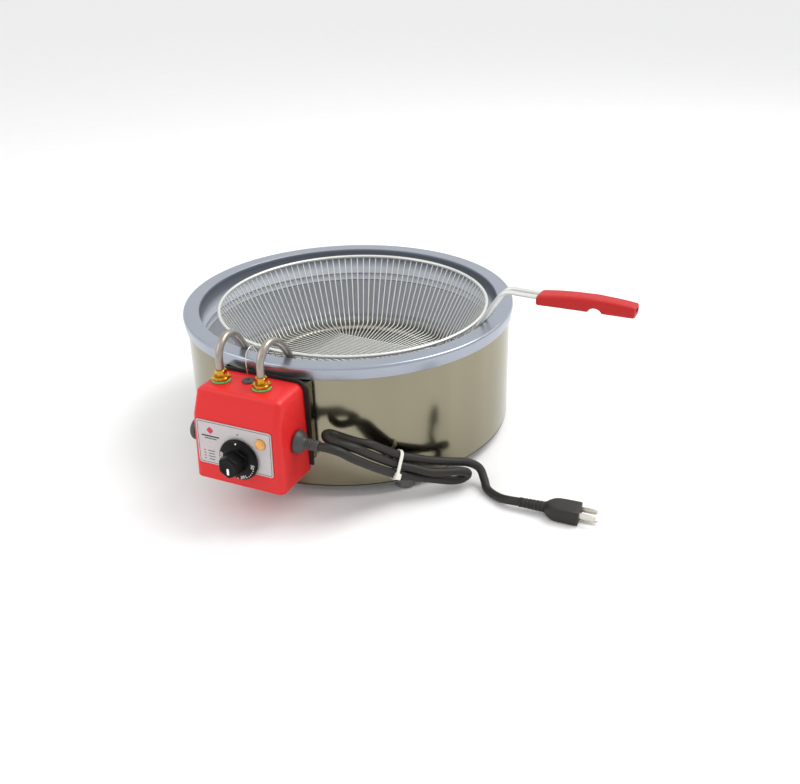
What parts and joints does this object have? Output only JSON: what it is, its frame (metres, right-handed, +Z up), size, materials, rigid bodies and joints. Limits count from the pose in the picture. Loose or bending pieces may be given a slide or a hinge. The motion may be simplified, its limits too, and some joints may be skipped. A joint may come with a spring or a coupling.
{
  "type": "deep fryer",
  "caption": "Round electric deep fryer: deep aluminium pan in a steel shell, red control box with a dial, heater tube over the rim, lift-out wire basket and a tied mains lead.",
  "frame": {"origin": "middle of the base plate's underside, on the pan's axis; the feet reach 12 mm below it", "axes": "+Z up along the pan's axis; the control box faces -Y; the basket's handle points along +X"},
  "size_m": [0.5507, 0.4838, 0.2127],
  "materials": {
    "aluminium": "satin drawn aluminium",
    "shell_steel": "bright champagne stainless sheet",
    "plain_steel": "plain zinc-plated steel",
    "red_plastic": "semi-gloss moulded plastic",
    "black_rubber": "soft black gasket",
    "grey_plastic": "dark grey moulded plastic",
    "foot_rubber": "dark grey rubber",
    "label_foil": "printed satin foil",
    "tube_steel": "annealed stainless heater tube",
    "brass": "yellow brass",
    "green_fibre": "green sealing washer",
    "knob_black": "glossy black plastic with white marks",
    "amber_lens": "amber translucent plastic",
    "basket_wire": "bright nickel-plated wire",
    "grip_red": "satin red plastic",
    "cord_black": "black flexible cord jacket",
    "tie_white": "white nylon",
    "ceramic": "cream insulator"
  },
  "bodies": {
    "fryer": {"base_plate": "plain_steel", "blanking_plug": "grey_plastic", "box_gasket": "black_rubber", "bulb_clip": "plain_steel", "cable_tie": "tie_white", "capillary_grommet": "grey_plastic", "capillary_tube": "plain_steel", "control_box": "red_plastic", "cord_gland": "grey_plastic", "foot_back_left": "foot_rubber", "foot_back_right": "foot_rubber", "foot_front_left": "foot_rubber", "foot_front_right": "foot_rubber", "foot_screw_back_left": "plain_steel", "foot_screw_back_right": "plain_steel", "foot_screw_front_left": "plain_steel", "foot_screw_front_right": "plain_steel", "heater_element": "tube_steel", "heater_ferrule_left": "brass", "heater_ferrule_right": "brass", "heater_lead_left": "cord_black", "heater_lead_right": "cord_black", "heater_locknut_left": "brass", "heater_locknut_right": "brass", "heater_nut_left": "brass", "heater_nut_right": "brass", "heater_support_1": "plain_steel", "heater_support_2": "plain_steel", "heater_support_3": "plain_steel", "heater_washer_left": "green_fibre", "heater_washer_right": "green_fibre", "label_panel": "label_foil", "mounting_saddle": "shell_steel", "oil_pan": "aluminium", "outer_shell": "shell_steel", "pilot_lamp_body": "ceramic", "pilot_lamp_lens": "amber_lens", "plug_blade_left": "brass", "plug_blade_right": "brass", "plug_body": "cord_black", "plug_ground_pin": "brass", "plug_strain_relief": "cord_black", "power_cord": "cord_black", "terminal_block": "ceramic", "thermostat_body": "grey_plastic", "thermostat_bulb": "plain_steel"},
    "knob": {"control_knob": "knob_black", "thermostat_shaft": "plain_steel"},
    "basket": {"basket_ring": "basket_wire", "basket_bowl": "basket_wire", "basket_grip": "grip_red", "handle_rod_left": "basket_wire", "handle_rod_right": "basket_wire"}
  },
  "joints": [
    {"name": "dial_turn", "type": "hinge", "parent": "fryer", "child": "knob", "pos_m": [0.0025, -0.2595, 0.0658], "axis": [0, 0.9993, -0.0376], "range_deg": [0, 270]},
    {"name": "basket_lift", "type": "slide", "parent": "fryer", "child": "basket", "axis": [0, 0, 1], "range_m": [0, 0.2]}
  ]
}
